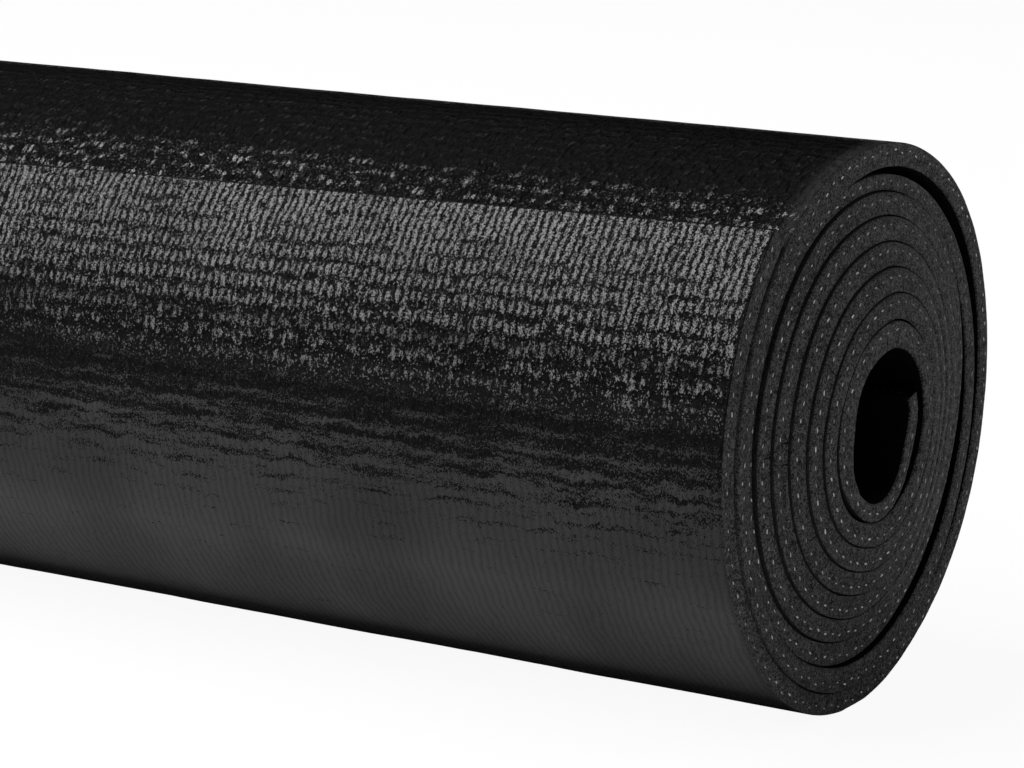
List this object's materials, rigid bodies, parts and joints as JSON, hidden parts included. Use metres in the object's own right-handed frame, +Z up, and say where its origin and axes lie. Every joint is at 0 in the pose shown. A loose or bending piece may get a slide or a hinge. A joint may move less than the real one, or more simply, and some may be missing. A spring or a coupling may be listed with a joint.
{
  "type": "exercise mat",
  "caption": "Foam exercise mat rolled up on its side: a laminated sheet with a yarn net between its foam layers, wound in a spiral round an open core.",
  "frame": {"origin": "on the ground under the centre of the roll's box, at the level of the flat that it rests on", "axes": "+X along the roll, towards the end where the inner turns stand proud; +Z up from the rest flat; +Y to the slack side of the winding"},
  "size_m": [0.617, 0.1088, 0.1076],
  "materials": {
    "outer_foam": "embossed closed-cell foam, satin skin",
    "scrim_yarn": "pale grey polyester yarn",
    "inner_foam": "matte closed-cell foam, fine cut cells"
  },
  "bodies": {
    "root": {"outer_foam_layer": "outer_foam", "scrim_net": "scrim_yarn", "inner_foam_layer": "inner_foam"}
  },
  "joints": []
}
